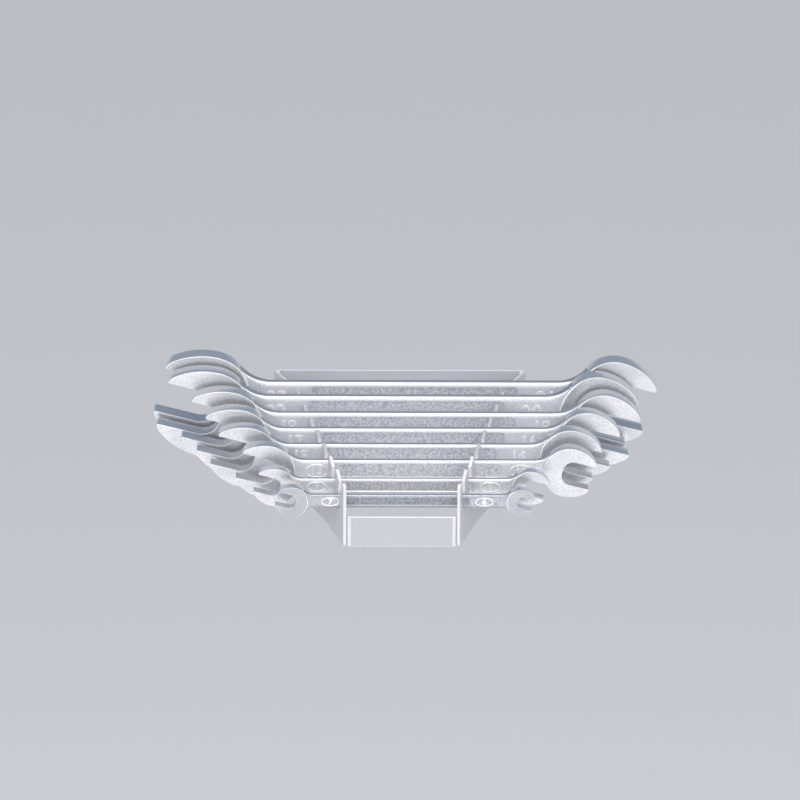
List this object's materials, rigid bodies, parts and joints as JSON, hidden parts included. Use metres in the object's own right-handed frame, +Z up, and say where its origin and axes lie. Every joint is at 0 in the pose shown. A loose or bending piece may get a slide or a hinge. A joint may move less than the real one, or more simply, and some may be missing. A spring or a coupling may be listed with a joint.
{
  "type": "wrench rack",
  "caption": "Folded sheet-metal wrench rack for a square-hole tool panel, with comb-cut cheeks holding a graded set of open-end wrenches on edge.",
  "frame": {"origin": "midway between the two upper hooks, on the back face of the back plate, where it meets the panel", "axes": "+X to the right along the wrenches, +Y back into the panel, +Z up"},
  "size_m": [0.2415, 0.1164, 0.0756],
  "materials": {
    "rack_paint": "light grey satin powder coat",
    "wrench_chrome": "satin chrome plate"
  },
  "bodies": {
    "root": {"rack_body": "rack_paint", "front_strip": "rack_paint", "wrench_21x23": "wrench_chrome", "wrench_20x22": "wrench_chrome", "wrench_18x19": "wrench_chrome", "wrench_16x17": "wrench_chrome", "wrench_14x15": "wrench_chrome", "wrench_12x13": "wrench_chrome", "wrench_8x9": "wrench_chrome", "wrench_6x7": "wrench_chrome"}
  },
  "joints": []
}
